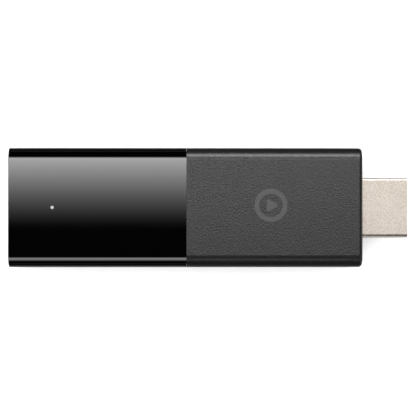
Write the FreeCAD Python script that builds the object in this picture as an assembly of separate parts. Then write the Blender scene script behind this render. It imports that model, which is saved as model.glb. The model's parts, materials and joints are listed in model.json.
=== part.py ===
import FreeCAD, Part
import math
import os

# A streaming media stick: a closed two-piece case with a video plug at its nose, a power socket in its
# tail, and one circuit board between two heat spreading plates on a plastic carrier.
# Millimetres. +X runs from the tail to the plug's tip, +Z is up through the face with the status light,
# and the origin is the middle of the underside of the whole object's box.

Vector = FreeCAD.Vector

# ---------------------------------------------------------------- case
body_length = 81.4
body_width = 27.5
body_height = 15.2
edge_radius = 2.8            # the four long edges
tail_round = 0.2             # the rim of the tail face
nose_round = 0.8             # the rim of the nose face
wall = 1.4
end_wall = 1.6
gloss_length = 40.9          # the glossy cover's share of the body, from the tail
seam_gap = 0.02              # between the two covers at the surface
lap_length = 3.5             # how far the matte cover's tongue reaches into the glossy cover
lap_end_gap = 0.2
fit_gap = 0.05               # between parts that slide into each other
snap_radius = 0.35
snap_height = 0.2            # how far a snap ridge stands out of the tongue
snap_width = 5.0
snap_spacing = 11.0
rib_thickness = 0.9
rib_offset = 6.0             # from the middle to each ceiling rib
rib_gap = 0.05
rib_start = 6.0              # from the status light to the ribs

# ---------------------------------------------------------------- status light
light_from_tail = 10.1
dot_radius = 0.4             # what shows in the glossy face
pipe_radius = 1.0
pipe_boss_wall = 0.7
pipe_boss_height = 2.0
led_length = 1.6
led_width = 0.8
led_lens_length = 1.0
led_base_height = 0.3
led_height = 0.6
led_gap = 0.3

# ---------------------------------------------------------------- video plug, 19 contacts
plug_width = 13.9
plug_height = 4.45
plug_cut_width = 1.5         # the two slanted lower corners
plug_cut_height = 1.6
plug_top_radius = 0.8
plug_cut_radius = 0.4
plug_sheet = 0.3
plug_reach = 11.0            # how far it stands out of the nose
plug_root = 7.2              # from the nose back to the board's edge
plug_gap = 0.1               # between the plug and its opening
plug_mouth_inset = 0.35      # the insulator's face behind the shell's rim
plug_slot_width = 11.5
plug_slot_height = 1.9
plug_slot_depth = 7.4
plug_pitch = 1.0
plug_upper_count = 10
plug_lower_count = 9
plug_contact_width = 0.45
plug_contact_thickness = 0.2
plug_contact_rise = 0.22     # the bow that presses on the television's contacts
plug_bow_length = 1.15       # each of the bow's three stretches
plug_tail_length = 1.9       # soldered to the board
plug_arm_length = 4.2        # the two side arms that hold the shell to the board
plug_arm_height = 1.2
plug_leg_width = 0.8
plug_leg_drop = 0.5          # how far a leg stands out below the board
plug_leg_inset = 1.2         # from the board's edge to the first pair of legs
plug_leg_pitch = 2.2
plug_leg_play = 0.1          # around a leg in its hole
plug_board_gap = 0.3         # between the board's edge and the plug's tube
plug_rim_round = 0.12
plug_seam_width = 0.06       # the folded sheet's joint, along the middle of the underside
plug_seam_depth = 0.1
plug_back_wall = 0.9         # of the insulator, where the contacts step down to the board
plug_tip_wall = 0.6          # of the insulator, ahead of the contacts
plug_jog_start = 0.15        # where a contact starts to step down to the board, from the plug's rear
plug_jog_end = 0.6
collar_wall = 1.0
collar_depth = 1.5
recess_length = 2.4          # the latch recesses in the plug's underside
recess_width = 1.6
recess_depth = 0.15
recess_spacing = 7.4
recess_from_tip = 4.6

# ---------------------------------------------------------------- power socket, 5 contacts
socket_width = 7.5
socket_height = 2.45
socket_cut_width = 1.0
socket_cut_height = 0.9
socket_radius = 0.35
socket_sheet = 0.25
socket_depth = 5.0
socket_inset = 0.3           # its mouth behind the tail face
socket_gap = 0.12
socket_bevel = 0.3
tongue_width = 3.8
tongue_height = 0.6
tongue_offset = 0.05         # from the middle up to the tongue's contact face
tongue_inset = 0.6
tongue_tip = 0.4             # of the tongue, ahead of the contacts
tongue_round = 0.12
socket_back = 1.2            # the insulator's block behind the tongue
socket_pitch = 0.65
socket_step_start = 0.7      # where a contact starts to rise to the board, before the back of the block
socket_step_end = 0.3
socket_count = 5
socket_contact_width = 0.36
socket_contact_thickness = 0.14
socket_tail_length = 0.9
contact_play = 0.02          # around a contact in its channel
wing_length = 0.9
wing_reach = 1.0
wing_from_board_end = 1.0

# ---------------------------------------------------------------- board and carrier
board_thickness = 1.0
board_corner = 0.5
board_end_gap = 0.3
board_notch_gap = 0.15
groove_depth = 0.7
rail_thickness = 1.25
rail_gap = 0.15
rail_lip_height = 1.2
rail_ledge_height = 2.0
carrier_end_gap = 0.15
beam_length = 3.0
upright_overlap = 0.5        # how far a beam's uprights run up into the rails
post_radius = 1.7
post_from_tail = 8.0
post_inset = 3.6             # from the board's side edge to the screw
post_floor = 0.6             # under the screw's hole
screw_radius = 0.75
screw_core = 0.55
screw_head_radius = 1.4
screw_head_height = 0.75
screw_crown = 0.6            # the flat top's share of the head
screw_length = 4.6
screw_pitch = 0.55
recess_cross = 1.5
recess_cross_width = 0.35
recess_cross_depth = 0.4

# ---------------------------------------------------------------- shields, pads and plates
shield_length = 27.0
shield_height = 1.9
shield_sheet = 0.2
shield_inset = 1.6           # from the board's side edge
shield_play = 0.03
shield_skirt_gap = 0.3
shield_fence_gap = 0.1       # between the fence's top and the lid
shield_lip = 0.8
shield_round = 0.15
vent_radius = 0.4
vent_count = 6
vent_inset = 1.6             # from the lid's end to its row of vent holes
pad_thickness = 1.2
pad_end_inset = 3.5          # from the shield's ends to a pad
pad_side_inset = 1.95
pad_corner = 0.3
plate_thickness = 1.2
plate_overhang = 3.5         # past the shield, towards each end
plate_inset = 1.4
plate_corner = 1.5
flange_drop = 2.0
flange_thickness = 0.8

# ---------------------------------------------------------------- components
joint_height = 0.3           # the solder joints under the large chips
joint_radius = 0.22
joint_pitch = 2.0
joint_rows = 6
chip_gap = 1.6               # from the shield to a large chip
processor_side = 13.0
processor_thickness = 1.0
processor_cap_side = 9.6
processor_cap_height = 0.12
memory_length = 7.5
memory_width = 13.3
memory_thickness = 1.0
flash_length = 11.5
flash_width = 13.0
flash_thickness = 1.0
radio_side = 12.0
radio_board = 0.6
radio_height = 2.2
radio_inset = 0.8
radio_from_light = 2.6
radio_pad_radius = 0.25
radio_pad_pitch = 1.0
radio_pad_count = 10
antenna_length = 12.0
antenna_rise = 1.0
antenna_height = 3.2
antenna_fold = 1.6
antenna_sheet = 0.3
antenna_inset = 1.0
antenna_foot = 0.8
antenna_foot_pitch = 3.0
antenna_slot = 0.6
antenna_slot_lift = 1.0
antenna_slot_start = 2.4
antenna_slot_end = 1.6
controller_side = 5.0
controller_height = 0.85
inductor_length = 2.5
inductor_width = 2.0
inductor_height = 1.2
inductor_count = 3
inductor_gap = 1.8
inductor_corner = 0.3
power_offset = 3.0           # from the radio's middle to the controller, and to the inductors
crystal_length = 3.2
crystal_width = 2.5
crystal_height = 0.7
crystal_round = 0.15
crystal_gap = 0.4
filter_length = 2.0
filter_width = 1.25
filter_height = 0.8
filter_count = 4
filter_gap = 1.0
filter_from_tails = 4.4      # from the plug's solder tails
chip_length = 1.0            # a small capacitor or resistor
chip_width = 0.5
capacitor_height = 0.5
capacitors_by_chip = 9       # in the row beside a large chip
capacitors_by_radio = 7      # in each row beside the radio and its supply
resistor_height = 0.35
resistors_by_filters = 8
resistors_by_socket = 6
row_pitch = 1.4
row_gap = 1.1                # from a chip or a socket to the row beside it

# ---------------------------------------------------------------- places
overall_length = body_length + plug_reach
x_tail = -overall_length / 2
x_nose = x_tail + body_length
x_tip = x_nose + plug_reach
x_seam = x_tail + gloss_length
x_light = x_tail + light_from_tail
z_mid = body_height / 2
floor = wall
ceiling = body_height - wall
cavity_half = body_width / 2 - wall
cavity_tail = x_tail + end_wall
cavity_nose = x_nose - end_wall
lap_inset = wall / 2

board_top = z_mid + board_thickness / 2
board_bottom = z_mid - board_thickness / 2
rail_outer = cavity_half - rail_gap
rail_inner = rail_outer - rail_thickness
board_half = rail_inner + groove_depth - fit_gap
board_tail = cavity_tail + board_end_gap
board_nose = x_nose - plug_root

plug_rear = board_nose + plug_board_gap
plug_bottom = z_mid - plug_height / 2
socket_mouth = x_tail + socket_inset
socket_rear = socket_mouth + socket_depth

x_post = x_tail + post_from_tail
y_post = board_half - post_inset

radio_x0 = x_light + radio_from_light
radio_x1 = radio_x0 + radio_side
radio_x = (radio_x0 + radio_x1) / 2
filter_x = board_nose - plug_tail_length - filter_from_tails
shield_middle = (radio_x1 + filter_x - filter_width / 2) / 2
shield_x0 = shield_middle - shield_length / 2
shield_x1 = shield_middle + shield_length / 2
shield_half = board_half - shield_inset
lid_top = board_top + shield_height
lid_bottom = board_bottom - shield_height
top_plate_z = lid_top + pad_thickness
bottom_plate_z = lid_bottom - pad_thickness
plate_x0 = shield_x0 - plate_overhang
plate_x1 = shield_x1 + plate_overhang
plate_half = board_half - plate_inset

processor_x = shield_x0 + chip_gap + processor_side / 2
memory_x = shield_x1 - chip_gap - memory_length / 2
flash_x = shield_x0 + chip_gap + flash_length / 2


least_radius = 0.1           # of an inner corner
near = 1e-4                  # how closely an edge is matched to a place
beyond = 1.0                 # how far a cut runs past what it cuts


# ---------------------------------------------------------------- shape tools
def box(x0, x1, y0, y1, z0, z1):
    """A block between two opposite corners."""
    return Part.makeBox(x1 - x0, y1 - y0, z1 - z0, Vector(x0, y0, z0))


def block(x, y, z0, length, width, height):
    """A block centred on x and y, standing on z0."""
    return box(x - length / 2, x + length / 2, y - width / 2, y + width / 2, z0, z0 + height)


def rod(x, y, z0, z1, radius):
    """An upright cylinder."""
    return Part.makeCylinder(radius, z1 - z0, Vector(x, y, z0))


def merged(first, *others):
    """One solid from several that meet."""
    return first.multiFuse(list(others)).removeSplitter()


def inset_corners(corners, inset):
    """A convex outline's corners, moved inwards so that each side shifts by inset."""
    lines = []
    count = len(corners)
    for i in range(count):
        (y0, z0), (y1, z1) = corners[i], corners[(i + 1) % count]
        length = math.hypot(y1 - y0, z1 - z0)
        ny, nz = -(z1 - z0) / length, (y1 - y0) / length
        lines.append((ny, nz, ny * y0 + nz * z0 + inset))
    moved = []
    for i in range(count):
        a0, b0, c0 = lines[i - 1]
        a1, b1, c1 = lines[i]
        det = a0 * b1 - a1 * b0
        moved.append(((c0 * b1 - c1 * b0) / det, (a0 * c1 - a1 * c0) / det))
    return moved


def outline(corners, radii, x):
    """A closed wire across the stick at x: straight sides with a tangent arc at each corner."""
    count = len(corners)
    stops = []
    for i in range(count):
        here = Vector(x, *corners[i])
        back = (Vector(x, *corners[i - 1]) - here).normalize()
        ahead = (Vector(x, *corners[(i + 1) % count]) - here).normalize()
        half = back.getAngle(ahead) / 2
        reach = radii[i] / math.tan(half)
        middle = here + (back + ahead).normalize() * (radii[i] / math.sin(half) - radii[i])
        stops.append((here + back * reach, middle, here + ahead * reach))
    edges = []
    for i in range(count):
        start, middle, end = stops[i]
        edges.append(Part.Arc(start, middle, end).toShape())
        edges.append(Part.LineSegment(end, stops[(i + 1) % count][0]).toShape())
    return Part.Wire(edges)


def prism(shape, x0, x1, inset=0.0):
    """A bar along the stick with the outline (corners, radii), each side moved inwards by inset."""
    corners, radii = shape
    tight = [max(r - inset, least_radius) for r in radii]
    face = Part.Face(outline(inset_corners(corners, inset), tight, x0))
    return face.extrude(Vector(x1 - x0, 0, 0))


def keyed_outline(width, height, cut_width, cut_height, top_radius, cut_radius):
    """A connector's outline, centred on the stick: flat on top, its two lower corners slanted."""
    half, low, high = width / 2, z_mid - height / 2, z_mid + height / 2
    corners = [
        (-half + cut_width, low),
        (half - cut_width, low),
        (half, low + cut_height),
        (half, high),
        (-half, high),
        (-half, low + cut_height),
    ]
    return corners, [cut_radius, cut_radius, cut_radius, top_radius, top_radius, cut_radius]


def bent_strip(path, thickness, y, width):
    """A flat strip of metal, width wide about y, that follows (x, z) points, with thickness added above."""
    upper = []
    for i, (x, z) in enumerate(path):
        normals = []
        for a, b in ((i - 1, i), (i, i + 1)):
            if a >= 0 and b < len(path):
                dx, dz = path[b][0] - path[a][0], path[b][1] - path[a][1]
                length = math.hypot(dx, dz)
                normals.append((-dz / length, dx / length))
        nx = sum(n[0] for n in normals) / len(normals)
        nz = sum(n[1] for n in normals) / len(normals)
        scale = thickness / (nx * nx + nz * nz)
        upper.append((x + nx * scale, z + nz * scale))
    points = [Vector(x, y - width / 2, z) for x, z in path + upper[::-1]]
    return Part.Face(Part.makePolygon(points + points[:1])).extrude(Vector(0, width, 0))


def edges_at_x(solid, x):
    """The edges that lie in the plane across the stick at x."""
    return [e for e in solid.Edges if abs(e.BoundBox.XMin - x) < near and abs(e.BoundBox.XMax - x) < near]


def upright_edges(solid):
    """The straight edges along Z."""
    return [e for e in solid.Edges if e.BoundBox.XLength < near and e.BoundBox.YLength < near]


def edges_at_z(solid, z):
    """The edges that lie in the level plane at z."""
    return [e for e in solid.Edges if abs(e.BoundBox.ZMin - z) < near and abs(e.BoundBox.ZMax - z) < near]


def on_side(shape, side):
    """A shape made for the board's upper face, turned over about the board's middle for the lower one."""
    return shape if side > 0 else shape.mirror(Vector(0, 0, z_mid), Vector(0, 0, 1))


def spaced(count, pitch):
    """Places along a row of that pitch, centred on zero."""
    return [(i - (count - 1) / 2) * pitch for i in range(count)]


body_outline = (
    [(side * body_width / 2, z) for side, z in ((-1, 0), (1, 0), (1, body_height), (-1, body_height))],
    [edge_radius] * 4,
)
plug_outline = keyed_outline(
    plug_width, plug_height, plug_cut_width, plug_cut_height, plug_top_radius, plug_cut_radius
)
socket_outline = keyed_outline(
    socket_width, socket_height, socket_cut_width, socket_cut_height, socket_radius, socket_radius
)


# ---------------------------------------------------------------- case
def body_block():
    """The body's outer form, whole, with its two rims rounded."""
    whole = prism(body_outline, x_tail, x_nose)
    whole = whole.makeFillet(tail_round, edges_at_x(whole, x_tail))
    return whole.makeFillet(nose_round, edges_at_x(whole, x_nose))


def slab(x0, x1):
    """Everything between two planes across the stick."""
    return box(x0, x1, -body_width, body_width, -body_height, 2 * body_height)


def snap_bars(radius):
    """Four short bars across the tongue's upper and lower faces, which click into grooves."""
    bars = []
    depth = lap_inset + fit_gap - snap_height + snap_radius
    for z in (depth, body_height - depth):
        for y in spaced(2, snap_spacing):
            start = Vector(x_seam - lap_length / 2, y - snap_width / 2, z)
            bars.append(Part.makeCylinder(radius, snap_width, start, Vector(0, 1, 0)))
    return bars


def ceiling_ribs(x0, x1):
    """Two ribs that hold the upper plate down."""
    low, half = top_plate_z + plate_thickness + rib_gap, rib_thickness / 2
    return [box(x0, x1, y - half, y + half, low, ceiling) for y in (-rib_offset, rib_offset)]


def gloss_cover():
    """The glossy tail cover: a square-ended sleeve with the power socket's opening and the light's hole."""
    cover = body_block().common(slab(x_tail - beyond, x_seam - seam_gap / 2))
    cover = cover.cut(prism(body_outline, cavity_tail, x_seam, wall))
    cover = cover.cut(prism(body_outline, x_seam - lap_length - lap_end_gap, x_seam, lap_inset))
    cover = cover.cut(Part.makeCompound(snap_bars(snap_radius + fit_gap)))
    cover = cover.cut(prism(socket_outline, x_tail - beyond, cavity_tail + beyond, -socket_gap))
    mouth = [e for e in edges_at_x(cover, x_tail) if abs(e.CenterOfMass.y) < socket_width]
    cover = cover.makeChamfer(socket_bevel, mouth)
    boss_low = ceiling - pipe_boss_height
    boss = rod(x_light, 0, boss_low, ceiling, pipe_radius + fit_gap + pipe_boss_wall)
    cover = merged(cover, boss, *ceiling_ribs(x_light + rib_start, x_seam - lap_length - 2 * lap_end_gap))
    cover = cover.cut(rod(x_light, 0, boss_low - beyond, ceiling, pipe_radius + fit_gap))
    return cover.cut(rod(x_light, 0, ceiling - fit_gap, body_height + beyond, dot_radius + fit_gap / 2))


def matte_cover():
    """The matte nose cover: a sleeve with a tongue for the glossy cover and the video plug's opening."""
    cover = body_block().common(slab(x_seam + seam_gap / 2, x_nose + beyond))
    tongue = prism(body_outline, x_seam - lap_length, x_seam + lap_length, lap_inset + fit_gap)
    cover = merged(cover, tongue, *snap_bars(snap_radius))
    cover = cover.cut(prism(body_outline, x_seam - lap_length - beyond, cavity_nose, wall))
    collar = prism(plug_outline, cavity_nose - collar_depth, cavity_nose, -plug_gap - collar_wall)
    cover = merged(cover, collar, *ceiling_ribs(x_seam, cavity_nose))
    return cover.cut(prism(plug_outline, cavity_nose - collar_depth - beyond, x_nose + beyond, -plug_gap))


def light_pipe():
    """The clear rod that carries the status light to the glossy face."""
    shank = rod(x_light, 0, board_top + led_height + led_gap, ceiling - fit_gap, pipe_radius)
    return merged(shank, rod(x_light, 0, ceiling - 2 * fit_gap, body_height, dot_radius))


# ---------------------------------------------------------------- carrier
def screw_places():
    return [(x_post, -y_post), (x_post, y_post)]


def board_carrier():
    """The inner tray: two grooved rails for the board, joined by beams, with two screw posts."""
    x0, x1 = cavity_tail + carrier_end_gap, cavity_nose - carrier_end_gap
    rail_low, rail_high = board_bottom - rail_ledge_height, board_top + rail_lip_height
    pieces = []
    for side in (-1, 1):
        y0, y1 = sorted((side * rail_inner, side * rail_outer))
        rail = box(x0, x1, y0, y1, rail_low, rail_high)
        g0, g1 = sorted((side * (rail_inner - beyond), side * (board_half + fit_gap)))
        groove = (g0, g1, board_bottom - fit_gap / 2, board_top + fit_gap / 2)
        pieces.append(rail.cut(box(x0 - beyond, board_nose + fit_gap, *groove)))
    middles = (x_post, plate_x0 + beam_length / 2, plate_x1 - beam_length / 2)
    beams = [(x, beam_length, bottom_plate_z - plate_thickness) for x in middles]
    under_plug = cavity_nose - collar_depth - plug_rear
    beams.append((plug_rear + under_plug / 2, under_plug / 2, plug_bottom - fit_gap))
    for x, length, top in beams:
        pieces.append(block(x, 0, floor, length, 2 * rail_outer, top - floor))
        for side in (-1, 1):
            y = side * (rail_inner + rail_outer) / 2
            upright = rail_low + upright_overlap - floor
            pieces.append(block(x, y, floor, length, rail_thickness, upright))
    for x, y in screw_places():
        pieces.append(rod(x, y, floor, board_bottom, post_radius))
    carrier = merged(*pieces).common(prism(body_outline, x0, x1, wall + fit_gap))
    for x, y in screw_places():
        hole = rod(x, y, floor + post_floor, board_bottom + beyond, screw_radius + fit_gap / 2)
        carrier = carrier.cut(hole)
    return carrier


def screw(x, y):
    """A self-tapping screw with a domed head and a cross recess, standing on the board."""
    top, low = board_top + screw_head_height, board_top - board_thickness
    profile = [(0, top), (screw_crown * screw_head_radius, top)]
    profile += [(screw_head_radius, (top + board_top) / 2), (screw_head_radius, board_top)]
    profile += [(screw_radius, board_top), (screw_radius, low)]
    for _ in range(int((screw_length - board_thickness - screw_radius) / screw_pitch)):
        profile += [(screw_core, low - screw_pitch / 2), (screw_radius, low - screw_pitch)]
        low -= screw_pitch
    profile += [(screw_core, low - screw_pitch / 2), (0, board_top - screw_length), profile[0]]
    face = Part.Face(Part.makePolygon([Vector(x + r, y, z) for r, z in profile]))
    solid = face.revolve(Vector(x, y, 0), Vector(0, 0, 1), 360)
    for length, width in ((recess_cross, recess_cross_width), (recess_cross_width, recess_cross)):
        solid = solid.cut(block(x, y, top - recess_cross_depth, length, width, recess_cross_depth + beyond))
    return solid


def carrier_screws():
    return [screw(x, y) for x, y in screw_places()]


# ---------------------------------------------------------------- board
def leg_places():
    """Where the plug shell's four legs pass through the board."""
    ahead = board_nose - plug_leg_inset
    y = plug_width / 2 - plug_sheet / 2
    return [(x, side * y) for x in (ahead, ahead - plug_leg_pitch) for side in (-1, 1)]


def main_board():
    """The circuit board, notched for the power socket, with holes for the screws and the plug's legs."""
    board = box(board_tail, board_nose, -board_half, board_half, board_bottom, board_top)
    board = board.makeFillet(board_corner, upright_edges(board))
    low, high = board_bottom - beyond, board_top + beyond
    notch_half = socket_width / 2 + board_notch_gap
    notch_end = socket_rear + board_notch_gap
    board = board.cut(box(board_tail - beyond, notch_end, -notch_half, notch_half, low, high))
    for x, y in screw_places():
        board = board.cut(rod(x, y, low, high, screw_radius + 2 * fit_gap))
    for x, y in leg_places():
        slot = (plug_leg_width + 2 * plug_leg_play, plug_sheet + 2 * plug_leg_play, high - low)
        board = board.cut(block(x, y, low, *slot))
    return board


def chip_on_board(x, y, length, width, height, side, stand=0.0):
    """A component's block on the board's upper (side 1) or lower (side -1) face."""
    return on_side(block(x, y, board_top + stand, length, width, height), side)


def processor():
    """The main chip: a square package with a shallow moulded cap."""
    low = processor_thickness - processor_cap_height
    base = chip_on_board(processor_x, 0, processor_side, processor_side, low, 1, joint_height)
    cap = (processor_cap_side, processor_cap_side, processor_thickness)
    return merged(base, chip_on_board(processor_x, 0, *cap, 1, joint_height))


def memory_chips():
    """Two memory chips, one on each face of the board."""
    size = (memory_length, memory_width, memory_thickness)
    return [chip_on_board(memory_x, 0, *size, side, joint_height) for side in (1, -1)]


def flash_chip():
    return chip_on_board(flash_x, 0, flash_length, flash_width, flash_thickness, -1, joint_height)


def solder_joints():
    """The rows of solder joints under the processor, the memory and the flash."""
    joints = []
    edge = joint_pitch / 2
    under = [
        (processor_x, spaced(joint_rows, joint_pitch), 1),
        (memory_x, [edge - memory_length / 2, memory_length / 2 - edge], 1),
        (memory_x, [edge - memory_length / 2, memory_length / 2 - edge], -1),
        (flash_x, [edge - flash_length / 2, flash_length / 2 - edge], -1),
    ]
    for x, columns, side in under:
        for dx in columns:
            for y in spaced(joint_rows, joint_pitch):
                joint = rod(x + dx, y, board_top, board_top + joint_height, joint_radius)
                joints.append(on_side(joint, side))
    return joints


def shield_frame(side):
    """The soldered fence of a shielding can, with a lip turned in along its edge."""
    t, gap = shield_sheet, shield_sheet + shield_play
    x0, x1, half = shield_x0 + gap, shield_x1 - gap, shield_half - gap
    low, high = board_top, lid_top - shield_sheet - shield_fence_gap
    fence = box(x0, x1, -half, half, low, high)
    fence = fence.cut(box(x0 + t, x1 - t, t - half, half - t, low - beyond, high - t))
    lip = shield_lip
    opening = box(x0 + lip, x1 - lip, lip - half, half - lip, low - beyond, high + beyond)
    return on_side(fence.cut(opening), side)


def shield_lid(side):
    """The lid that snaps over a fence: a plate with a skirt and two rows of vent holes."""
    t = shield_sheet
    low, high = board_top + shield_skirt_gap, lid_top
    lid = box(shield_x0, shield_x1, -shield_half, shield_half, low, high)
    lid = lid.makeFillet(shield_round, edges_at_z(lid, high) + upright_edges(lid))
    inside = (shield_x0 + t, shield_x1 - t, t - shield_half, shield_half - t)
    lid = lid.cut(box(*inside, low - beyond, high - t))
    for x in (shield_x0 + vent_inset, shield_x1 - vent_inset):
        for y in spaced(vent_count, 2 * shield_half / (vent_count + 1)):
            lid = lid.cut(rod(x, y, low, high + beyond, vent_radius))
    return on_side(lid, side)


def processor_pad():
    """The pad between the processor's cap and the upper lid."""
    low = board_top + joint_height + processor_thickness
    return block(processor_x, 0, low, processor_cap_side, processor_cap_side, lid_top - shield_sheet - low)


def flash_pad():
    """The pad between the flash chip and the lower lid."""
    low = board_top + joint_height + flash_thickness
    pad = block(flash_x, 0, low, flash_length, flash_width, lid_top - shield_sheet - low)
    return on_side(pad, -1)


def thermal_pad(side):
    """A soft pad between a shield lid and its plate."""
    x0, x1 = shield_x0 + pad_end_inset, shield_x1 - pad_end_inset
    half = shield_half - pad_side_inset
    pad = box(x0, x1, -half, half, lid_top, lid_top + pad_thickness)
    return on_side(pad.makeFillet(pad_corner, upright_edges(pad)), side)


def heat_plate():
    """The upper plate's flat, with rounded corners."""
    low, high = top_plate_z, top_plate_z + plate_thickness
    plate = box(plate_x0, plate_x1, -plate_half, plate_half, low, high)
    return plate.makeFillet(plate_corner, upright_edges(plate))


def top_heat_spreader():
    """The upper aluminium plate, with its two long sides turned down."""
    x0, x1 = plate_x0 + 2 * plate_corner, plate_x1 - 2 * plate_corner
    high = top_plate_z + plate_thickness
    flanges = []
    for side in (-1, 1):
        y0, y1 = sorted((side * plate_half, side * (plate_half - flange_thickness)))
        flanges.append(box(x0, x1, y0, y1, high - flange_drop, high))
    return merged(heat_plate(), *flanges)


def bottom_heat_spreader():
    """The lower aluminium plate, which lies on the carrier's beams."""
    return on_side(heat_plate(), -1)


# ---------------------------------------------------------------- other components
def status_led():
    """The status light: a base with its solder ends and a narrower lens."""
    base = chip_on_board(x_light, 0, led_length, led_width, led_base_height, 1)
    return merged(base, chip_on_board(x_light, 0, led_lens_length, led_width, led_height, 1))


def radio_module():
    """The radio's own small board, with half-round solder notches along two sides."""
    board = block(radio_x, 0, board_top, radio_side, radio_side, radio_board)
    for along in spaced(radio_pad_count, radio_pad_pitch):
        for side in (-1, 1):
            notch = (radio_x + along, side * radio_side / 2, board_top - beyond, board_top + beyond)
            board = board.cut(rod(*notch, radio_pad_radius))
    return board


def radio_shield():
    """The can over the radio module."""
    t = shield_sheet
    side = radio_side - 2 * radio_inset
    low, high = board_top + radio_board, board_top + radio_height
    can = block(radio_x, 0, low, side, side, high - low)
    can = can.makeFillet(shield_round, edges_at_z(can, high) + upright_edges(can))
    return can.cut(block(radio_x, 0, low - beyond, side - 2 * t, side - 2 * t, high - t - low + beyond))


def antenna(side):
    """A stamped antenna on two feet beside the radio, its top edge folded inwards."""
    x0, x1 = radio_x0, radio_x0 + antenna_length
    y1 = board_half - antenna_inset
    y0 = y1 - antenna_sheet
    low, high = board_top + antenna_rise, board_top + antenna_rise + antenna_height
    slot_low = low + antenna_slot_lift
    slot = (y0 - beyond, y1 + beyond, slot_low, slot_low + antenna_slot)
    plate = box(x0, x1, y0, y1, low, high)
    plate = plate.cut(box(x0 + antenna_slot_start, x1 - antenna_slot_end, *slot))
    fold = box(x0, x1, y1 - antenna_fold, y1, high - antenna_sheet, high)
    feet = [box(x, x + antenna_foot, y0, y1, board_top, low) for x in (x0, x0 + antenna_foot_pitch)]
    shape = merged(plate, fold, *feet)
    return shape if side > 0 else shape.mirror(Vector(0, 0, 0), Vector(0, 1, 0))


def power_controller():
    """The chip that makes the board's supply voltages."""
    size = (controller_side, controller_side, controller_height)
    return chip_on_board(radio_x - power_offset, 0, *size, -1)


def inductors():
    """Power inductors beside the controller, under the radio."""
    coils = []
    for y in spaced(inductor_count, inductor_width + inductor_gap):
        size = (inductor_length, inductor_width, inductor_height)
        coil = chip_on_board(radio_x + power_offset, y, *size, -1)
        coils.append(coil.makeFillet(inductor_corner, upright_edges(coil)))
    return coils


def crystals():
    """The two clock crystals: one beside the processor's shield, one beside the status light."""
    beside_shield = (shield_x0 - crystal_gap - crystal_width / 2, 0)
    beside_light = (x_light, led_width / 2 + crystal_gap + crystal_length / 2)
    cans = []
    for x, y in (beside_shield, beside_light):
        can = chip_on_board(x, y, crystal_width, crystal_length, crystal_height, 1)
        rim = edges_at_z(can, board_top + crystal_height)
        cans.append(can.makeFillet(crystal_round, rim + upright_edges(can)))
    return cans


def signal_filters():
    """A row of filters between the processor and the video plug."""
    size = (filter_width, filter_length, filter_height)
    return [chip_on_board(filter_x, y, *size, 1) for y in spaced(filter_count, filter_length + filter_gap)]


def capacitors():
    """Rows of small capacitors between the large chips, and beside the power controller."""
    rows = [
        (processor_x + processor_side / 2 + row_gap, 1, capacitors_by_chip),
        (flash_x + flash_length / 2 + row_gap, -1, capacitors_by_chip),
        (radio_x - power_offset - controller_side / 2 - row_gap, -1, capacitors_by_radio),
        (radio_x1 + 2 * row_gap, 1, capacitors_by_radio),
    ]
    size = (chip_width, chip_length, capacitor_height)
    return [chip_on_board(x, y, *size, side) for x, side, count in rows for y in spaced(count, row_pitch)]


def resistors():
    """Rows of small resistors beside the filters and behind the power socket."""
    rows = [
        (filter_x + filter_width / 2 + row_gap, 1, resistors_by_filters),
        (socket_rear + row_gap + chip_width, -1, resistors_by_socket),
    ]
    size = (chip_length, chip_width, resistor_height)
    return [chip_on_board(x, y, *size, side) for x, side, count in rows for y in spaced(count, row_pitch)]


# ---------------------------------------------------------------- power socket
def power_socket_shell():
    """The socket's drawn steel shell, with four wings on the board and an opening for the contacts."""
    shell = prism(socket_outline, socket_mouth, socket_rear)
    shell = shell.cut(prism(socket_outline, socket_mouth - beyond, socket_rear - socket_sheet, socket_sheet))
    wings = []
    root, tip = socket_width / 2 - socket_sheet, socket_width / 2 + wing_reach
    for x in (board_tail + wing_from_board_end, socket_rear - wing_length):
        for side in (-1, 1):
            y0, y1 = sorted((side * root, side * tip))
            wings.append(box(x, x + wing_length, y0, y1, board_top, board_top + socket_sheet))
    half = tongue_width / 2
    out = (-half, half, board_top - socket_gap, board_top + socket_contact_thickness + socket_gap)
    return merged(shell, *wings).cut(box(socket_rear - beyond, socket_rear + beyond, *out))


def power_socket_insulator():
    """The socket's plastic block and tongue, with a channel for each contact."""
    rear = socket_rear - socket_sheet
    front = socket_mouth + tongue_inset
    half, low = tongue_width / 2, z_mid + tongue_offset
    tongue = box(front, rear - socket_back / 2, -half, half, low, low + tongue_height)
    tongue = tongue.makeFillet(tongue_round, edges_at_x(tongue, front))
    piece = merged(prism(socket_outline, rear - socket_back, rear, socket_sheet + fit_gap / 2), tongue)
    half_contact = socket_contact_thickness / 2
    bottom, top = low - half_contact - contact_play, low + half_contact + contact_play
    step_top = board_top + socket_contact_thickness + contact_play
    for y in spaced(socket_count, socket_pitch):
        y0 = y - socket_contact_width / 2 - contact_play
        y1 = y + socket_contact_width / 2 + contact_play
        step = rear - socket_step_start - socket_contact_thickness
        piece = piece.cut(box(front + tongue_tip, rear + beyond, y0, y1, bottom, top))
        piece = piece.cut(box(step, rear + beyond, y0, y1, bottom, step_top))
    return piece


def power_socket_contacts():
    """Five plated strips under the tongue, stepped up behind it to lie on the board."""
    rear = socket_rear - socket_sheet
    low = z_mid + tongue_offset - socket_contact_thickness / 2
    path = [
        (socket_mouth + tongue_inset + tongue_tip + fit_gap, low),
        (rear - socket_step_start, low),
        (rear - socket_step_end, board_top),
        (socket_rear + socket_tail_length, board_top),
    ]
    thick, width = socket_contact_thickness, socket_contact_width
    return [bent_strip(path, thick, y, width) for y in spaced(socket_count, socket_pitch)]


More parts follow.
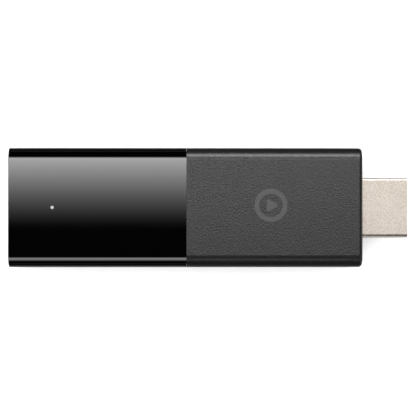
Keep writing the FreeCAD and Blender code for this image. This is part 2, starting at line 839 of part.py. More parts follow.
# ---------------------------------------------------------------- video plug
def video_plug_shell():
    """The plug's folded steel shell: a tube with two latch recesses below, and arms and legs on the board."""
    tube = prism(plug_outline, plug_rear, x_tip)
    tube = tube.makeFillet(plug_rim_round, edges_at_x(tube, x_tip))
    tube = tube.cut(prism(plug_outline, plug_rear - beyond, x_tip + beyond, plug_sheet))
    for y in spaced(2, recess_spacing):
        size = (recess_length, recess_width, beyond + recess_depth)
        tube = tube.cut(block(x_tip - recess_from_tip, y, plug_bottom - beyond, *size))
    seam = plug_seam_width / 2
    low = plug_bottom - beyond
    tube = tube.cut(box(plug_rear - beyond, x_tip + beyond, -seam, seam, low, plug_bottom + plug_seam_depth))
    pieces = []
    outer, arm_top = plug_width / 2, board_top + plug_arm_height
    for side in (-1, 1):
        y0, y1 = sorted((side * outer, side * (outer - plug_sheet)))
        pieces.append(box(plug_rear - plug_arm_length, plug_rear + plug_sheet, y0, y1, board_top, arm_top))
    leg_height = plug_leg_drop + board_thickness + plug_sheet
    for x, y in leg_places():
        pieces.append(block(x, y, board_bottom - plug_leg_drop, plug_leg_width, plug_sheet, leg_height))
    return merged(tube, *pieces)


def contact_places():
    """(y, side) of each of the plug's contacts: the upper row, then the lower row half a pitch apart."""
    upper = [(y, 1) for y in spaced(plug_upper_count, plug_pitch)]
    return upper + [(y, -1) for y in spaced(plug_lower_count, plug_pitch)]


def video_plug_insulator():
    """The plug's plastic core: a slot for the television's tongue, and a channel for each contact."""
    front = x_tip - plug_mouth_inset
    core = prism(plug_outline, plug_rear, front, plug_sheet + fit_gap / 2)
    half = plug_slot_height / 2
    slot = (-plug_slot_width / 2, plug_slot_width / 2, z_mid - half, z_mid + half)
    core = core.cut(box(front - plug_slot_depth, front + beyond, *slot))
    outer = z_mid + half + plug_contact_thickness + 2 * fit_gap
    for y, side in contact_places():
        w = plug_contact_width / 2 + fit_gap / 2
        channel = box(plug_rear - beyond, front - plug_tip_wall, y - w, y + w, z_mid + half - near, outer)
        step_low = min(board_top - fit_gap, z_mid + half)
        step = box(plug_rear - beyond, plug_rear + plug_back_wall, y - w, y + w, step_low, outer)
        core = core.cut(on_side(channel, side)).cut(on_side(step, side))
    return core


def plug_contact(y, side):
    """One contact: a strip along the slot, bowed near its tip, and jogged to lie on the board."""
    front = x_tip - plug_mouth_inset - plug_tip_wall - plug_contact_thickness
    run = z_mid + plug_slot_height / 2 + fit_gap
    bow = plug_bow_length
    path = [
        (board_nose - plug_tail_length, board_top),
        (plug_rear + plug_jog_start, board_top),
        (plug_rear + plug_jog_end, run),
        (front - 3 * bow, run),
        (front - 2 * bow, run - plug_contact_rise),
        (front - bow, run - plug_contact_rise),
        (front, run),
    ]
    return on_side(bent_strip(path, plug_contact_thickness, y, plug_contact_width), side)


def plug_contacts(row):
    """All the contacts of the upper row (1) or the lower row (-1)."""
    return [plug_contact(y, side) for y, side in contact_places() if side == row]


# ---------------------------------------------------------------- write the parts
def save(name, made):
    """Writes one node: a solid, or a list of solids that share it."""
    shape = Part.makeCompound(made) if isinstance(made, list) else made
    shape.exportStep(os.path.join("parts", name + ".step"))
    solids = shape.Solids
    good = all(s.isValid() and s.Volume > 0 for s in solids)
    print(f"{name}: {len(solids)} solid(s), {shape.Volume:.1f} mm3{'' if good else ', NOT VALID'}")


def main():
    os.makedirs("parts", exist_ok=True)
    save("gloss_cover", gloss_cover())
    save("matte_cover", matte_cover())
    save("light_pipe", light_pipe())
    save("board_carrier", board_carrier())
    save("carrier_screws", carrier_screws())
    save("main_board", main_board())
    save("processor", processor())
    save("memory_chips", memory_chips())
    save("flash_chip", flash_chip())
    save("solder_joints", solder_joints())
    save("top_shield_frame", shield_frame(1))
    save("top_shield_lid", shield_lid(1))
    save("bottom_shield_frame", shield_frame(-1))
    save("bottom_shield_lid", shield_lid(-1))
    save("processor_pad", processor_pad())
    save("flash_pad", flash_pad())
    save("top_thermal_pad", thermal_pad(1))
    save("bottom_thermal_pad", thermal_pad(-1))
    save("top_heat_spreader", top_heat_spreader())
    save("bottom_heat_spreader", bottom_heat_spreader())
    save("status_led", status_led())
    save("radio_module", radio_module())
    save("radio_shield", radio_shield())
    save("left_antenna", antenna(1))
    save("right_antenna", antenna(-1))
    save("power_controller", power_controller())
    save("inductors", inductors())
    save("crystals", crystals())
    save("signal_filters", signal_filters())
    save("capacitors", capacitors())
    save("resistors", resistors())
    save("power_socket_shell", power_socket_shell())
    save("power_socket_insulator", power_socket_insulator())
    save("power_socket_contacts", power_socket_contacts())
    save("video_plug_shell", video_plug_shell())
    save("video_plug_insulator", video_plug_insulator())
    save("upper_plug_contacts", plug_contacts(1))
    save("lower_plug_contacts", plug_contacts(-1))


main()
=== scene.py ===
import bpy
import bmesh
import json
import math
from mathutils import Matrix, Vector


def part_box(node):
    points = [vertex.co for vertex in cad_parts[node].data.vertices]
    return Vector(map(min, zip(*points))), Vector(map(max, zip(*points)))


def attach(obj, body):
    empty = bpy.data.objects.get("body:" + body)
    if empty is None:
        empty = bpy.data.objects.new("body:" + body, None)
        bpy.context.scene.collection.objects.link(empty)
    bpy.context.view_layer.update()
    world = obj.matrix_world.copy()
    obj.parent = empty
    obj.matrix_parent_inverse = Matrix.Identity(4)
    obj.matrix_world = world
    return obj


# A streaming media stick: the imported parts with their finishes, the printed mark on the matte cover, and the
# small forms on the board. Metres, in the parts' own frame: +X towards the video plug, +Z up.

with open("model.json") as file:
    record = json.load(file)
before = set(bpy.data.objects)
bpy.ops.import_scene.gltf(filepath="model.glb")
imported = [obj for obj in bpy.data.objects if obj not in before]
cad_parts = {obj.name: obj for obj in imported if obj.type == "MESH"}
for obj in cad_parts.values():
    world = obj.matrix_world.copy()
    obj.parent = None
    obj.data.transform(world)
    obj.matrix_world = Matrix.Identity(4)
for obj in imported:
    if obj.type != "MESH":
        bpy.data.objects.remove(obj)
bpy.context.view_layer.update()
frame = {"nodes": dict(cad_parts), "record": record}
nodes = frame["nodes"]
scene = bpy.context.scene

MM = 0.001
gloss_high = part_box("gloss_cover")[1]
dot_low, dot_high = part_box("light_pipe")
board_low, board_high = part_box("main_board")
top_z = gloss_high.z
mid_z = top_z / 2
seam_x = gloss_high.x


# ---------------------------------------------------------------- shader maths
def by_key(sockets):
    """A node's sockets, to be found by place or by identifier."""
    return dict(enumerate(sockets)) | {socket.identifier: socket for socket in sockets}


class Value:
    """A socket that gives a number or a colour. Python's operators on a number add Math nodes."""

    def __init__(self, shader, socket):
        self.shader = shader
        self.socket = socket

    def __add__(self, other):
        return self.shader.math("ADD", self, other)

    def __sub__(self, other):
        return self.shader.math("SUBTRACT", self, other)

    def __rsub__(self, other):
        return self.shader.math("SUBTRACT", other, self)

    def __mul__(self, other):
        return self.shader.math("MULTIPLY", self, other)

    def __truediv__(self, other):
        return self.shader.math("DIVIDE", self, other)

    def __rtruediv__(self, other):
        return self.shader.math("DIVIDE", other, self)

    def __neg__(self):
        return self * -1

    def __abs__(self):
        return self.shader.math("ABSOLUTE", self)

    __radd__ = __add__
    __rmul__ = __mul__

    def at_least(self, limit):
        return self.shader.math("MAXIMUM", self, limit)

    def clamped(self):
        """Kept between 0 and 1."""
        return self.shader.node("ShaderNodeClamp", {}, {"Value": self}).out()

    def mirrored(self, period):
        """Goes up and down between 0 and half the period."""
        return self.shader.math("PINGPONG", self, period / 2)

    def between(self, low, high):
        """0 at low and below, 1 at high and above, smooth in between."""
        settings = {"interpolation_type": "SMOOTHSTEP"}
        sockets = {"Value": self, "From Min": low, "From Max": high}
        return self.shader.node("ShaderNodeMapRange", settings, sockets).out()


class Made:
    """A node just added, and its outputs."""

    def __init__(self, shader, node):
        self.shader = shader
        self.outputs = by_key(node.outputs)

    def out(self, key=0):
        return Value(self.shader, self.outputs[key])


class Shader:
    """A node tree, with one method that adds any node."""

    def __init__(self, tree):
        self.tree = tree

    def node(self, kind, settings=None, sockets=None):
        """Adds a node: its settings first, and then the value or the link of each socket."""
        made = self.tree.nodes.new(kind)
        for name, value in (settings or {}).items():
            setattr(made, name, value)
        inputs = by_key(made.inputs)
        for key, value in (sockets or {}).items():
            if isinstance(value, Value):
                self.tree.links.new(value.socket, inputs[key])
            else:
                inputs[key].default_value = value
        return Made(self, made)

    def math(self, operation, *terms):
        return self.node("ShaderNodeMath", {"operation": operation}, dict(enumerate(terms))).out()

    def distance(self, x, y):
        """How far a point is from the middle of a plane."""
        return self.math("SQRT", x * x + y * y)

    def place(self):
        """The point on the piece, in the parts' frame, in metres."""
        return self.node("ShaderNodeTexCoord").out("Object")

    def axes(self, vector, wanted="XYZ"):
        """The parts of a vector along the wanted axes."""
        split = self.node("ShaderNodeSeparateXYZ", {}, {"Vector": vector})
        return [split.out(axis) for axis in wanted]

    def noise(self, size, detail=2.0, roughness=0.5, stretch=(1, 1, 1)):
        """Soft random values, with features about size metres wide, drawn out along the axes by stretch."""
        scale = [1 / (size * share) for share in stretch]
        at = self.node("ShaderNodeMapping", {}, {"Vector": self.place(), "Scale": scale}).out()
        sockets = {"Vector": at, "Scale": 1.0, "Detail": detail, "Roughness": roughness}
        return self.node("ShaderNodeTexNoise", {}, sockets).out()

    def mix(self, factor, first, second):
        """One colour turning into another."""
        sockets = {"Factor_Float": factor, "A_Color": first, "B_Color": second}
        return self.node("ShaderNodeMix", {"data_type": "RGBA"}, sockets).out("Result_Color")

    def bump(self, height, depth):
        """A normal from a height value whose full range is depth metres."""
        sockets = {"Strength": 1.0, "Distance": depth, "Height": height}
        return self.node("ShaderNodeBump", {}, sockets).out()


def rgb(red, green, blue):
    """A linear colour."""
    return (red, green, blue, 1)


def grey(level):
    return rgb(level, level, level)


materials = {}


def make_material(name, fixed, varying):
    """A principled material: its fixed sockets by name, and a function that makes those that vary."""
    material = bpy.data.materials.new(name)
    material.use_nodes = True
    tree = material.node_tree
    principled = tree.nodes["Principled BSDF"]
    for socket, value in fixed.items():
        principled.inputs[socket].default_value = value
    for socket, value in varying(Shader(tree)).items():
        tree.links.new(value.socket, principled.inputs[socket])
    materials[name] = material


def wear(piece, name):
    """Gives a piece its finish."""
    piece.data.materials.clear()
    piece.data.materials.append(materials[name])


# ---------------------------------------------------------------- camera
LENS_DISTANCE = 0.400
LENS_ANGLE = math.radians(13.87)
LEAN_TAIL = math.radians(0.73)       # the lens leans a little towards the tail, and towards -Y
LEAN_FRONT = math.radians(0.69)
AIM = Vector((-0.27 * MM, -0.04 * MM, mid_z))


def make_camera():
    """A long lens almost straight above the face with the status light."""
    toward = Vector((-math.tan(LEAN_TAIL), -math.tan(LEAN_FRONT), 1)).normalized()
    up = Vector((0, 1, 0))
    up = (up - toward * up.dot(toward)).normalized()
    turn = Matrix((up.cross(toward), up, toward)).transposed().to_4x4()
    data = bpy.data.cameras.new("camera")
    data.sensor_fit = "HORIZONTAL"
    data.angle = LENS_ANGLE
    data.clip_start = 10 * MM
    camera = bpy.data.objects.new("camera", data)
    camera.matrix_world = Matrix.Translation(AIM + toward * LENS_DISTANCE) @ turn
    scene.collection.objects.link(camera)
    scene.camera = camera


make_camera()


# ---------------------------------------------------------------- studio
# The glossy cover has a sky of its own: a broad panel whose light grows from straight above towards +Y, with
# a strip towards -Y. Places on it are tangents of the lean from upright. The other pieces have soft lamps.
DAYLIGHT = 1.45                      # what dull surfaces and the lens see
SKY_HEIGHT = 1.0
SKY_LENGTH, SKY_WIDTH = 3.0, 5.0     # along X, and across
ROOF_LIGHT = 9.9
ROOF_RISE = (-0.007, 0.053)
ROOF_END = (0.22, 0.60)
STRIP_LIGHT = 5.6
STRIP_RISE = (0.33, 0.68)
STRIP_FALL = (0.50, 2.1)
WALL_LIGHT = 1.5                     # the pale walls past the stick's two ends, for every glossy surface
WALL_SECTOR = (0.35, 0.95)           # the shares of X to Y where the walls begin and are full
WALL_LEAN = (1.2, 4.5)
NEAR_ZERO = 0.01                     # keeps a division away from zero

FLOOR_HALF = 4.0
FLOOR_TONE = 0.93
FLOOR_DARK = 0.01                    # the share of that tone which a glossy surface sees
FLOOR_FAR = 0.4                      # what is added to the share far from the stick
FAR_REACH = (200 * MM, 500 * MM)
FLOOR_NEAR = 0.25                    # and what is added in a band along X under it, growing towards -Y
NEAR_REACH = (30 * MM, 45 * MM)
NEAR_RISE = (-60 * MM, 30 * MM)

# Each lamp's turn about the upright and its lean from it, in degrees, its distance, its size and its power.
MATTE_LAMPS = {
    "matte_overhead": (0, 9, 0.7, (0.50, 0.10), 1.38),
    "matte_back": (0, 45, 0.6, (0.50, 0.20), 3.2),
    "matte_front": (0, -44, 0.6, (0.50, 0.12), 0.36),
}
OTHER_LAMPS = {
    "overhead_lamp": (0, 7, 0.7, (0.50, 0.26), 0.85),
    "back_lamp": (0, 62, 0.6, (0.50, 0.40), 2.6),
    "plug_end_lamp": (-90, 76, 0.5, (0.30, 0.20), 1.2),
    "socket_end_lamp": (90, 76, 0.5, (0.30, 0.20), 1.6),
    "front_lamp": (180, 84, 0.5, (0.30, 0.20), 0.3),
}


def make_world():
    """Plain white for dull surfaces and the lens, and a dark room with two pale ends for glossy ones."""
    world = bpy.data.worlds.new("studio")
    world.use_nodes = True
    world.cycles.sampling_method = "NONE"
    scene.world = world
    world.node_tree.nodes.clear()
    shader = Shader(world.node_tree)
    x, y, z = shader.axes(shader.node("ShaderNodeTexCoord").out("Generated"))
    lean = shader.distance(x, y) / z.at_least(NEAR_ZERO)
    ends = (abs(x) / (abs(y) + NEAR_ZERO)).between(*WALL_SECTOR)
    walls = WALL_LIGHT * ends * lean.between(*WALL_LEAN)
    glossy = shader.node("ShaderNodeLightPath").out("Is Glossy Ray")
    level = glossy * walls + DAYLIGHT * (1 - glossy)
    sky = shader.node("ShaderNodeBackground", {}, {"Color": grey(1), "Strength": level}).out()
    shader.node("ShaderNodeOutputWorld", {}, {"Surface": sky})


def make_lamp(name, turn, lean, distance, size, power):
    """A soft panel that shines on the middle, leaning from straight above towards +Y and then turned."""
    data = bpy.data.lights.new(name, "AREA")
    data.shape = "RECTANGLE"
    data.size, data.size_y = size
    data.energy = power
    lamp = bpy.data.objects.new(name, data)
    aim = Matrix.Rotation(math.radians(turn), 4, "Z") @ Matrix.Rotation(math.radians(-lean), 4, "X")
    lamp.matrix_world = aim @ Matrix.Translation((0, 0, distance))
    lamp.visible_camera = False
    scene.collection.objects.link(lamp)
    return lamp


def light_only(lamp, state, *pieces):
    """Limits a lamp to some pieces (INCLUDE), or keeps it off them (EXCLUDE)."""
    linked = bpy.data.collections.new(lamp.name + "_pieces")
    for place, piece in enumerate(pieces):
        linked.objects.link(piece)
        linked.collection_objects[place].light_linking.link_state = state
    lamp.light_linking.receiver_collection = linked


def make_gloss_sky():
    """The panel that only the glossy cover reflects."""
    power = math.pi * SKY_LENGTH * SKY_WIDTH
    lamp = make_lamp("gloss_sky", 0, 0, SKY_HEIGHT, (SKY_LENGTH, SKY_WIDTH), power)
    light_only(lamp, "INCLUDE", nodes["gloss_cover"])
    lamp.data.use_nodes = True
    lamp.data.node_tree.nodes.clear()
    shader = Shader(lamp.data.node_tree)
    back = shader.axes(shader.node("ShaderNodeNewGeometry").out("Position"), "Y")[0] / SKY_HEIGHT
    front = -back
    rise = ((back - ROOF_RISE[0]) / (ROOF_RISE[1] - ROOF_RISE[0])).clamped()
    roof = ROOF_LIGHT * rise * rise * (1 - back.between(*ROOF_END))
    fall = 1 - front.between(*STRIP_FALL)
    strip = STRIP_LIGHT * front.between(*STRIP_RISE) * fall * fall
    shine = shader.node("ShaderNodeEmission", {}, {"Strength": roof + strip}).out()
    shader.node("ShaderNodeOutputLight", {}, {"Surface": shine})


def make_lamps(mark):
    """The lamps for the matte cover with its mark, and those for everything but the two covers."""
    gloss, matte = nodes["gloss_cover"], nodes["matte_cover"]
    for name, setting in MATTE_LAMPS.items():
        light_only(make_lamp(name, *setting), "INCLUDE", matte, mark)
    for name, setting in OTHER_LAMPS.items():
        light_only(make_lamp(name, *setting), "EXCLUDE", gloss, matte, mark)


def make_floor():
    """The pale table, which is darker to glossy surfaces."""
    mesh = bpy.data.meshes.new("floor")
    corners = [(x * FLOOR_HALF, y * FLOOR_HALF, 0) for x, y in ((-1, -1), (1, -1), (1, 1), (-1, 1))]
    mesh.from_pydata(corners, [], [(0, 1, 2, 3)])
    floor = bpy.data.objects.new("floor", mesh)
    scene.collection.objects.link(floor)
    material = bpy.data.materials.new("pale_table")
    material.use_nodes = True
    material.node_tree.nodes.clear()
    shader = Shader(material.node_tree)
    x, y = shader.axes(shader.place(), "XY")
    far = shader.distance(x, y).between(*FAR_REACH)
    near = (-y).between(*NEAR_RISE) * (1 - abs(y).between(*NEAR_REACH))
    glossy = shader.node("ShaderNodeLightPath").out("Is Glossy Ray")
    level = (1 - glossy) + glossy * (FLOOR_DARK + FLOOR_FAR * far + FLOOR_NEAR * near)
    tone = shader.mix(level, grey(0), grey(FLOOR_TONE))
    paper = shader.node("ShaderNodeBsdfDiffuse", {}, {"Color": tone}).out()
    shader.node("ShaderNodeOutputMaterial", {}, {"Surface": paper})
    mesh.materials.append(material)


make_world()
make_floor()
make_gloss_sky()
scene.view_settings.view_transform = "Standard"


# ---------------------------------------------------------------- finishes
def piano_black(shader):
    """Polished black plastic: deep, with the faintest unevenness of the polish."""
    haze = shader.noise(6 * MM, detail=3)
    ripple = shader.noise(9 * MM, detail=1)
    return {
        "Base Color": shader.mix(haze, grey(0.0002), grey(0.0004)),
        "Roughness": 0.008 + 0.010 * haze,
        "Normal": shader.bump(ripple, 0.0004 * MM),
    }


def mould_grain(shader):
    """The fine and the coarse grain of a spark-eroded mould, and the two together."""
    fine = shader.noise(0.14 * MM, detail=3, roughness=0.7)
    coarse = shader.noise(0.40 * MM, detail=3)
    return fine, coarse, 0.3 * fine + 0.7 * coarse


def spark_texture(shader):
    """Matte black plastic with the grain of its mould."""
    grain = mould_grain(shader)[2]
    cloud = shader.noise(12 * MM, detail=2)
    return {
        "Base Color": shader.mix(0.7 * grain + 0.3 * cloud, grey(0.002), grey(0.006)),
        "Roughness": 0.29 + 0.03 * grain.between(0.35, 0.65),
        "Normal": shader.bump(grain, 0.060 * MM),
    }


def screen_ink(shader):
    """Thin grey printing ink, through which the mould's grain still shows."""
    fine, coarse, grain = mould_grain(shader)
    return {
        "Base Color": shader.mix(coarse, grey(0.022), grey(0.033)),
        "Roughness": 0.26 + 0.10 * fine + 0.12 * coarse,
        "Normal": shader.bump(grain, 0.03 * MM),
    }


def plated_nickel(shader):
    """Warm nickel plating over pressed sheet, with fine pits and faint drawing lines along X."""
    pits = shader.noise(0.32 * MM, detail=2, roughness=0.6)
    lines = shader.noise(0.12 * MM, detail=2, stretch=(30, 1, 1))
    cloud = shader.noise(5 * MM, detail=2)
    tone = (0.7 * pits + 0.2 * lines + 0.1 * cloud).between(0.3, 0.7)
    return {
        "Base Color": shader.mix(tone, rgb(0.64, 0.55, 0.47), rgb(1.0, 0.92, 0.83)),
        "Roughness": 0.30 + 0.16 * pits,
        "Normal": shader.bump(0.8 * pits + 0.2 * lines, 0.024 * MM),
    }


def metal(darker, paler, roughness, size=0.3 * MM, depth=0.004 * MM):
    """Bare or plated metal with a fine grain."""
    def varying(shader):
        pits = shader.noise(size, detail=3, roughness=0.6)
        cloud = shader.noise(12 * size, detail=2)
        return {
            "Base Color": shader.mix(0.5 * pits + 0.5 * cloud, darker, paler),
            "Roughness": roughness + 0.15 * pits,
            "Normal": shader.bump(pits, depth),
        }
    return varying


def moulded(darker, paler, roughness, size=0.1 * MM, depth=0.006 * MM):
    """Moulded plastic, ceramic or rubber: a little uneven in colour, with a fine grain."""
    def varying(shader):
        fine = shader.noise(size, detail=3, roughness=0.6)
        cloud = shader.noise(20 * size, detail=2)
        return {
            "Base Color": shader.mix(0.4 * fine + 0.6 * cloud, darker, paler),
            "Roughness": roughness + 0.12 * fine,
            "Normal": shader.bump(fine, depth),
        }
    return varying


TRACK_PITCH = 0.7 * MM
TRACK_EDGE = (0.20 * MM, 0.23 * MM)
TRACK_BEND = 0.9 * MM
HOLE_PITCH = 2.1 * MM
HOLE_EDGE = (0.16 * MM, 0.20 * MM)


def solder_mask(shader):
    """Green lacquer over copper tracks, with bare tinned holes between them."""
    x, y = shader.axes(shader.place(), "XY")
    patch = shader.noise(5 * MM, detail=1)
    bend = shader.noise(2.5 * MM, detail=1) * TRACK_BEND
    along = (y + bend).mirrored(TRACK_PITCH).between(*TRACK_EDGE)
    across = (x + bend).mirrored(TRACK_PITCH).between(*TRACK_EDGE)
    turned = patch.between(0.49, 0.51)
    track = along * turned + across * (1 - turned)
    solid = shader.noise(7 * MM, detail=2).between(0.52, 0.55)
    copper = track + solid - track * solid
    drilled = shader.noise(4 * MM, detail=1).between(0.50, 0.56)
    hole = 1 - shader.distance(x.mirrored(HOLE_PITCH), y.mirrored(HOLE_PITCH)).between(*HOLE_EDGE)
    hole = hole * drilled
    fine = shader.noise(0.2 * MM, detail=3)
    lacquer = shader.mix(copper, rgb(0.006, 0.040, 0.020), rgb(0.018, 0.110, 0.050))
    return {
        "Base Color": shader.mix(hole, lacquer, rgb(0.62, 0.62, 0.60)),
        "Metallic": hole,
        "Roughness": 0.30 + 0.10 * fine + 0.05 * hole,
        "Normal": shader.bump(copper + 0.2 * fine, 0.015 * MM),
    }


GLOW_EDGE = (0.12 * MM, 0.50 * MM)   # the glow fades between these distances from the guide's axis
GLOW_DEPTH = 1.5 * MM                # and over this depth below the upper face


def lit_guide(shader):
    """Clear plastic that carries the light: brightest at the middle of its upper end."""
    x, y, z = shader.axes(shader.place())
    from_axis = shader.distance(x - (dot_low.x + dot_high.x) / 2, y)
    glow = (1 - from_axis.between(*GLOW_EDGE)) * z.between(top_z - GLOW_DEPTH, top_z)
    cloud = shader.noise(0.4 * MM)
    return {
        "Base Color": shader.mix(cloud, grey(0.10), grey(0.15)),
        "Roughness": 0.10 + 0.10 * cloud,
        "Emission Color": shader.mix(glow, grey(0.02), rgb(0.50, 0.51, 0.52)),
    }


# The metals, and then the plastics and inks, by the name of their slot or their ink.
METALS = {
    "socket_metal": metal(rgb(0.45, 0.44, 0.42), rgb(0.66, 0.65, 0.62), 0.28),
    "shield_tin": metal(rgb(0.50, 0.50, 0.49), rgb(0.72, 0.72, 0.70), 0.32),
    "antenna_metal": metal(rgb(0.60, 0.52, 0.36), rgb(0.78, 0.70, 0.52), 0.30),
    "crystal_lid": metal(grey(0.60), grey(0.78), 0.25),
    "solder": metal(rgb(0.52, 0.53, 0.55), rgb(0.76, 0.77, 0.80), 0.22, 0.1 * MM),
    "screw_steel": metal(rgb(0.30, 0.30, 0.31), rgb(0.48, 0.48, 0.50), 0.30),
    "spreader_aluminium": metal(rgb(0.66, 0.67, 0.68), rgb(0.84, 0.85, 0.86), 0.34),
    "plug_metal": plated_nickel,
}
PLASTICS = {
    "carrier_grey": moulded(grey(0.10), grey(0.14), 0.48, 0.25 * MM),
    "chip_black": moulded(grey(0.010), grey(0.022), 0.45, 0.12 * MM),
    "chip_ink": moulded(grey(0.45), grey(0.60), 0.55),
    "thermal_pad": moulded(rgb(0.20, 0.30, 0.42), rgb(0.27, 0.37, 0.50), 0.75, 0.2 * MM, 0.02 * MM),
    "ferrite": moulded(rgb(0.05, 0.05, 0.052), rgb(0.09, 0.09, 0.092), 0.55),
    "ceramic_tan": moulded(rgb(0.33, 0.21, 0.12), rgb(0.45, 0.30, 0.18), 0.40),
    "resistor_black": moulded(grey(0.012), grey(0.03), 0.35),
    "light_lens": moulded(rgb(0.75, 0.72, 0.45), rgb(0.85, 0.82, 0.55), 0.30, 0.25 * MM),
    "gloss_case": piano_black,
    "matte_case": spark_texture,
    "mark_print": screen_ink,
}


def make_materials():
    """A finish for each slot of the record, and for the two inks."""
    for name, varying in METALS.items():
        make_material(name, {"Metallic": 1.0}, varying)
    for name, varying in PLASTICS.items():
        make_material(name, {"IOR": 1.5}, varying)
    gold = metal(rgb(0.92, 0.62, 0.22), rgb(1.0, 0.74, 0.32), 0.24, 0.2 * MM, 0.001 * MM)
    make_material("contact_gold", {"Metallic": 0.7}, gold)
    insulator = moulded(grey(0.008), grey(0.016), 0.50, 0.25 * MM)
    make_material("insulator_black", {"Specular IOR Level": 0.2}, insulator)
    make_material("board_laminate", {"Coat Weight": 0.3, "Coat Roughness": 0.15}, solder_mask)
    make_material("clear_guide", {"Emission Strength": 1.0, "Transmission Weight": 0.4}, lit_guide)


def add_piece(data, finish):
    """Adds a mesh made here as a piece of the stick, with its finish and the slot it belongs to."""
    piece = bpy.data.objects.new(data.name, data)
    scene.collection.objects.link(piece)
    wear(piece, finish)
    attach(piece, "root")
    return piece


make_materials()
for part in frame["record"]["subparts"]:
    wear(nodes[part["node"]], part["material_slot"])


# ---------------------------------------------------------------- the printed mark
MARK_FROM_SEAM = 19.4 * MM
MARK_ASIDE = 0.5 * MM
MARK_RADIUS = 3.8 * MM
MARK_STROKE = 1.1 * MM
MARK_FILM = 0.02 * MM                # the thickness of the ink
ARROW_RADIUS = 1.9 * MM
ARROW_ROUND = 0.35 * MM
RING_STEPS = 96
ROUND_STEPS = 6                      # at each corner of the arrowhead


def ring_of(radius, steps):
    """Points spaced evenly round a circle, in the plane, from +X on."""
    angles = [2 * math.pi * i / steps for i in range(steps)]
    return [Vector((radius * math.cos(angle), radius * math.sin(angle))) for angle in angles]


def rounded(corners, radius, steps):
    """A convex outline with each corner replaced by an arc."""
    points = []
    for i, corner in enumerate(corners):
        back = (corners[i - 1] - corner).normalized()
        ahead = (corners[(i + 1) % len(corners)] - corner).normalized()
        half = back.angle(ahead) / 2
        centre = corner + (back + ahead).normalized() * radius / math.sin(half)
        start = corner + back * radius / math.tan(half) - centre
        end = corner + ahead * radius / math.tan(half) - centre
        for k in range(steps + 1):
            points.append(centre + radius * start.slerp(end, k / steps))
    return points


def join_loops(mesh, first, second):
    """A band of faces between two loops of as many points."""
    for k in range(len(first)):
        j = (k + 1) % len(first)
        mesh.faces.new((first[k], first[j], second[j], second[k]))


def ink_loops(mesh, outline, x, y):
    """An outline on the upper face, and again at the top of the ink."""
    levels = (top_z, top_z + MARK_FILM)
    return [[mesh.verts.new((x + point.x, y + point.y, z)) for point in outline] for z in levels]


def film(name, areas, x, y):
    """A thin layer of ink on the upper face. Each area is an outline, with or without an opening in it."""
    mesh = bmesh.new()
    for outer, inner in areas:
        low, high = ink_loops(mesh, outer, x, y)
        join_loops(mesh, low, high)
        if inner:
            low_in, high_in = ink_loops(mesh, inner, x, y)
            join_loops(mesh, high, high_in)
            join_loops(mesh, high_in, low_in)
            join_loops(mesh, low_in, low)
        else:
            mesh.faces.new(high)
            mesh.faces.new(low[::-1])
    bmesh.ops.recalc_face_normals(mesh, faces=mesh.faces)
    data = bpy.data.meshes.new(name)
    mesh.to_mesh(data)
    mesh.free()
    return data


def make_mark():
    """A plain play sign, a ring round an arrowhead, in grey ink on the matte cover."""
    ring = (ring_of(MARK_RADIUS, RING_STEPS), ring_of(MARK_RADIUS - MARK_STROKE, RING_STEPS))
    arrow = (rounded(ring_of(ARROW_RADIUS, 3), ARROW_ROUND, ROUND_STEPS), None)
    ink = film("play_mark", (ring, arrow), seam_x + MARK_FROM_SEAM, MARK_ASIDE)
    return add_piece(ink, "mark_print")


make_lamps(make_mark())


# ---------------------------------------------------------------- what repeats on the board
# The share of a component's length that each of its metal ends takes.
CAP_SHARES = {"capacitors": 0.25, "resistors": 0.2, "signal_filters": 0.2, "inductors": 0.2}
CAP_MARGIN = 0.02 * MM               # a metal end stands this far off the component it wraps
CAP_ROUND = 0.04 * MM
DOTTED = ("processor", "memory_chips", "flash_chip", "power_controller")
DOT_RADIUS = 0.35 * MM
DOT_INSET = 1.2 * MM
DOT_INSET_SHARE = 0.2                # on a small chip: the inset's share of its width
DOT_FILM = 0.01 * MM
DOT_SIDES = 16
# The height of the joints on each node, and the ends along X that have one: -1 the low end, 1 the high end.
SOLDERED = {
    "upper_plug_contacts": (0.24 * MM, (-1,)),
    "lower_plug_contacts": (0.24 * MM, (-1,)),
    "power_socket_contacts": (0.17 * MM, (1,)),
    "status_led": (0.17 * MM, (-1, 1)),
}
SOLDER_STRETCH = (2.0, 1.4, 1.0)     # a joint is longer and wider than it is high
SOLDER_SPLITS = 2


def solids_of(name):
    """The lowest and highest corners of each separate solid of a CAD node."""
    mesh = bmesh.new()
    mesh.from_mesh(nodes[name].data)
    bmesh.ops.remove_doubles(mesh, verts=mesh.verts, dist=0.0005 * MM)
    left = set(mesh.verts)
    boxes = []
    while left:
        group = [left.pop()]
        for vert in group:
            for edge in vert.link_edges:
                other = edge.other_vert(vert)
                if other in left:
                    left.remove(other)
                    group.append(other)
        low = Vector([min(v.co[i] for v in group) for i in range(3)])
        high = Vector([max(v.co[i] for v in group) for i in range(3)])
        boxes.append((low, high))
    mesh.free()
    return sorted(boxes, key=lambda pair: tuple(pair[0]))


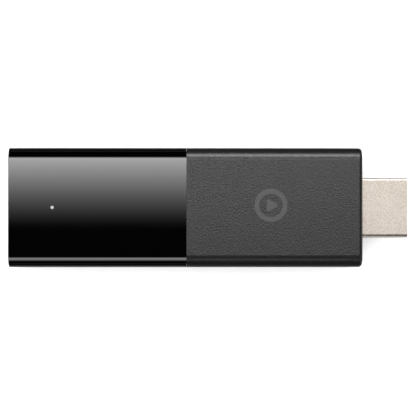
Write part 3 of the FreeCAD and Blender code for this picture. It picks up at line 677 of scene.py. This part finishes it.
def repeating_tree(primitive, sizes):
    """A tree that puts one form on every point. Its inputs are the form's sizes, stretch and finish."""
    tree = bpy.data.node_groups.new("repeated_form", "GeometryNodeTree")
    sockets = tree.interface
    sockets.new_socket("Points", in_out="INPUT", socket_type="NodeSocketGeometry")
    kinds = {float: "NodeSocketFloat", int: "NodeSocketInt", tuple: "NodeSocketVector"}
    wanted = {name: kinds[type(value)] for name, value in sizes.items()}
    wanted.update({"Stretch": "NodeSocketVector", "Finish": "NodeSocketMaterial"})
    keys = {}
    for name, kind in wanted.items():
        keys[name] = sockets.new_socket(name, in_out="INPUT", socket_type=kind).identifier
    sockets.new_socket("Forms", in_out="OUTPUT", socket_type="NodeSocketGeometry")
    made = tree.nodes
    given = made.new("NodeGroupInput")
    form = made.new(primitive)
    placed = made.new("GeometryNodeInstanceOnPoints")
    real = made.new("GeometryNodeRealizeInstances")
    finished = made.new("GeometryNodeSetMaterial")
    result = made.new("NodeGroupOutput")
    for name in sizes:
        tree.links.new(given.outputs[name], form.inputs[name])
    tree.links.new(given.outputs["Points"], placed.inputs["Points"])
    tree.links.new(form.outputs["Mesh"], placed.inputs["Instance"])
    tree.links.new(given.outputs["Stretch"], placed.inputs["Scale"])
    tree.links.new(placed.outputs[0], real.inputs[0])
    tree.links.new(real.outputs[0], finished.inputs["Geometry"])
    tree.links.new(given.outputs["Finish"], finished.inputs["Material"])
    tree.links.new(finished.outputs[0], result.inputs[0])
    return tree, keys


def grow(name, points, primitive, sizes, stretch, finish):
    """A plain mesh with the same small form at every point."""
    tree, keys = repeating_tree(primitive, sizes)
    seeds = bpy.data.meshes.new(name + "_points")
    seeds.from_pydata(points, [], [])
    carrier = bpy.data.objects.new(name + "_points", seeds)
    scene.collection.objects.link(carrier)
    growth = carrier.modifiers.new("repeat", "NODES")
    growth.node_group = tree
    for key, value in {**sizes, "Stretch": stretch, "Finish": materials[finish]}.items():
        growth[keys[key]] = value
    bpy.context.view_layer.update()
    grown = carrier.evaluated_get(bpy.context.evaluated_depsgraph_get())
    data = bpy.data.meshes.new_from_object(grown)
    data.name = name
    bpy.data.objects.remove(carrier)
    return data


def round_edges(data, rounding):
    """Takes the edges off a mesh."""
    mesh = bmesh.new()
    mesh.from_mesh(data)
    bmesh.ops.bevel(mesh, geom=mesh.edges, offset=rounding, segments=1, affect="EDGES")
    mesh.to_mesh(data)
    mesh.free()


def make_metal_ends():
    """The tinned ends that wrap each capacitor, resistor, filter and inductor."""
    for name, share in CAP_SHARES.items():
        boxes = solids_of(name)
        size = boxes[0][1] - boxes[0][0]
        axis = 0 if size.x > size.y else 1
        length = share * size[axis]
        form = [side + 2 * CAP_MARGIN for side in size]
        form[axis] = length + CAP_MARGIN
        points = []
        for low, high in boxes:
            for end in (low[axis] + (length - CAP_MARGIN) / 2, high[axis] - (length - CAP_MARGIN) / 2):
                point = (low + high) / 2
                point[axis] = end
                points.append(point)
        sizes = {"Size": tuple(form)}
        data = grow(name + "_metal_ends", points, "GeometryNodeMeshCube", sizes, (1.0, 1.0, 1.0), "solder")
        round_edges(data, CAP_ROUND)
        add_piece(data, "solder")


def make_chip_dots():
    """The pale dot that shows which way round each large chip goes."""
    points = []
    for name in DOTTED:
        for low, high in solids_of(name):
            above = (low.z + high.z) / 2 > mid_z
            level = high.z if above else low.z
            inset = min(DOT_INSET, DOT_INSET_SHARE * (high.x - low.x))
            points.append((low.x + inset, high.y - inset, level))
    sizes = {"Vertices": DOT_SIDES, "Radius": DOT_RADIUS, "Depth": 2 * DOT_FILM}
    data = grow("chip_dots", points, "GeometryNodeMeshCylinder", sizes, (1.0, 1.0, 1.0), "chip_ink")
    add_piece(data, "chip_ink")


def make_solder():
    """The solder round the tail of each contact, and at the light's two ends."""
    for name, (rise, ends) in SOLDERED.items():
        points = []
        for low, high in solids_of(name):
            face = board_low.z if (low.z + high.z) / 2 < mid_z else board_high.z
            for end in ends:
                x = high.x - rise if end > 0 else low.x + rise
                points.append((x, (low.y + high.y) / 2, face))
        sizes = {"Radius": rise, "Subdivisions": SOLDER_SPLITS}
        data = grow(name + "_solder", points, "GeometryNodeMeshIcoSphere", sizes, SOLDER_STRETCH, "solder")
        data.shade_smooth()
        add_piece(data, "solder")


make_metal_ends()
make_chip_dots()
make_solder()
